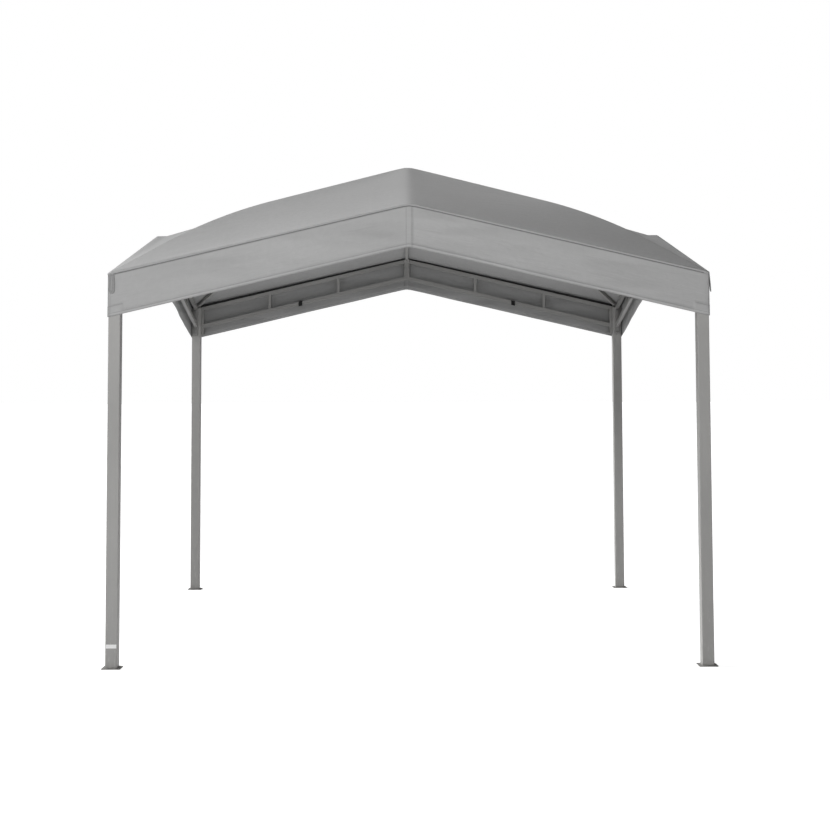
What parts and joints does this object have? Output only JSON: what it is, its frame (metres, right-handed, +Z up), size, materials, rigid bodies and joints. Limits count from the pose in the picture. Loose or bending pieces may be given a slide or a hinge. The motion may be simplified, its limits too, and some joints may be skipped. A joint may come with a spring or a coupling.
{
  "type": "garden party tent",
  "caption": "Garden party tent: square steel posts on bolted base plates carry a braced roof frame and a fabric canopy with a raised valance on every side.",
  "frame": {"origin": "on the ground under the middle of the tent, level with the undersides of the base plates", "axes": "+Z up; +X along the front side, from the front-left post to the front-right post; +Y from the front side to the rear side"},
  "size_m": [3.035, 3.035, 2.715],
  "materials": {
    "frame_paint": "satin warm grey powder coat",
    "bolt_zinc": "bright zinc plating, slightly dulled",
    "canopy_cloth": "grey coated polyester, plain weave, matt",
    "strap_webbing": "black woven webbing",
    "tab_webbing": "grey folded canopy cloth, stitched round its edge",
    "label_paper": "blank white sticker, matt"
  },
  "bodies": {
    "root": {"post_front_left": "frame_paint", "base_plate_front_left": "frame_paint", "post_front_right": "frame_paint", "base_plate_front_right": "frame_paint", "post_rear_right": "frame_paint", "base_plate_rear_right": "frame_paint", "post_rear_left": "frame_paint", "base_plate_rear_left": "frame_paint", "truss_front_left_half": "frame_paint", "truss_front_right_half": "frame_paint", "peak_bolt_front": "bolt_zinc", "truss_right_left_half": "frame_paint", "truss_right_right_half": "frame_paint", "peak_bolt_right": "bolt_zinc", "truss_rear_left_half": "frame_paint", "truss_rear_right_half": "frame_paint", "peak_bolt_rear": "bolt_zinc", "truss_left_left_half": "frame_paint", "truss_left_right_half": "frame_paint", "peak_bolt_left": "bolt_zinc", "hip_rafter_front_left": "frame_paint", "corner_bracket_front_left": "frame_paint", "corner_bolt_front_left": "bolt_zinc", "hip_rafter_front_right": "frame_paint", "corner_bracket_front_right": "frame_paint", "corner_bolt_front_right": "bolt_zinc", "hip_rafter_rear_right": "frame_paint", "corner_bracket_rear_right": "frame_paint", "corner_bolt_rear_right": "bolt_zinc", "hip_rafter_rear_left": "frame_paint", "corner_bracket_rear_left": "frame_paint", "corner_bolt_rear_left": "bolt_zinc", "ridge_rafter_front": "frame_paint", "ridge_bracket_front": "frame_paint", "ridge_rafter_right": "frame_paint", "ridge_bracket_right": "frame_paint", "ridge_rafter_rear": "frame_paint", "ridge_bracket_rear": "frame_paint", "ridge_rafter_left": "frame_paint", "ridge_bracket_left": "frame_paint", "hub": "frame_paint", "roof_canopy": "canopy_cloth", "valance_front": "canopy_cloth", "valance_right": "canopy_cloth", "valance_rear": "canopy_cloth", "valance_left": "canopy_cloth", "tie_strap_front_left": "strap_webbing", "tie_strap_front_right": "strap_webbing", "tie_strap_right_left": "strap_webbing", "tie_strap_right_right": "strap_webbing", "tie_strap_rear_left": "strap_webbing", "tie_strap_rear_right": "strap_webbing", "tie_strap_left_left": "strap_webbing", "tie_strap_left_right": "strap_webbing", "label": "label_paper"},
    "tab_front_left": {"corner_tab_front_left": "tab_webbing"},
    "tab_front_right": {"corner_tab_front_right": "tab_webbing"},
    "tab_rear_right": {"corner_tab_rear_right": "tab_webbing"},
    "tab_rear_left": {"corner_tab_rear_left": "tab_webbing"}
  },
  "joints": [
    {"name": "tab_swing_front_left", "type": "hinge", "parent": "root", "child": "tab_front_left", "pos_m": [-1.4972, -1.5049, 1.9454], "axis": [-1, 0, 0], "range_deg": [0, 150]},
    {"name": "tab_swing_front_right", "type": "hinge", "parent": "root", "child": "tab_front_right", "pos_m": [1.5049, -1.4972, 1.9454], "axis": [0, -1, 0], "range_deg": [0, 150]},
    {"name": "tab_swing_rear_right", "type": "hinge", "parent": "root", "child": "tab_rear_right", "pos_m": [1.4972, 1.5049, 1.9454], "axis": [1, 0, 0], "range_deg": [0, 150]},
    {"name": "tab_swing_rear_left", "type": "hinge", "parent": "root", "child": "tab_rear_left", "pos_m": [-1.5049, 1.4972, 1.9454], "axis": [0, 1, 0], "range_deg": [0, 150]}
  ]
}
